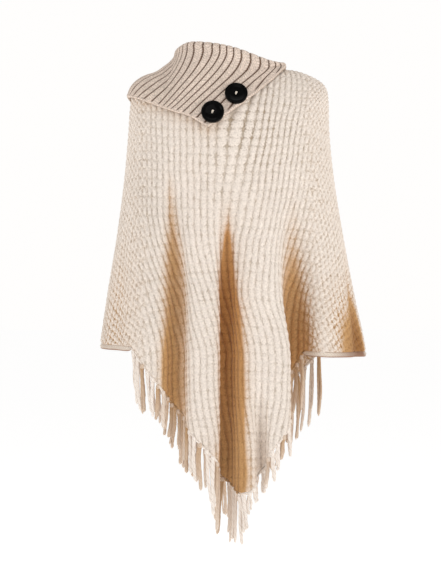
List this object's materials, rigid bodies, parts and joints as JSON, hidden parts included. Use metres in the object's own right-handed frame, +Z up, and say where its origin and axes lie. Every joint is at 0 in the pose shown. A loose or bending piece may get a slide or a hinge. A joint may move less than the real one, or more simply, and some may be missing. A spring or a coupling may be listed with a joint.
{
  "type": "knitted poncho sweater",
  "caption": "Worn waffle-knit poncho with a folded ribbed collar, glossy black buttons, level side hems and a pointed fringed hem at front and back",
  "frame": {"origin": "between the wearer's shoulders, at the height where the cloth rests on them", "axes": "+Z up, the front of the poncho faces -Y, +X to the wearer's left"},
  "size_m": [0.531, 0.3317, 0.9681],
  "materials": {
    "waffle_knit": "matte",
    "rib_knit": "matte",
    "button_black": "gloss"
  },
  "bodies": {
    "root": {"front_panel": "waffle_knit", "back_panel": "waffle_knit", "collar": "rib_knit", "cuff_left": "waffle_knit", "cuff_right": "waffle_knit", "fringe_front": "waffle_knit", "fringe_back": "waffle_knit", "button_lower": "button_black", "button_upper": "button_black"}
  },
  "joints": []
}
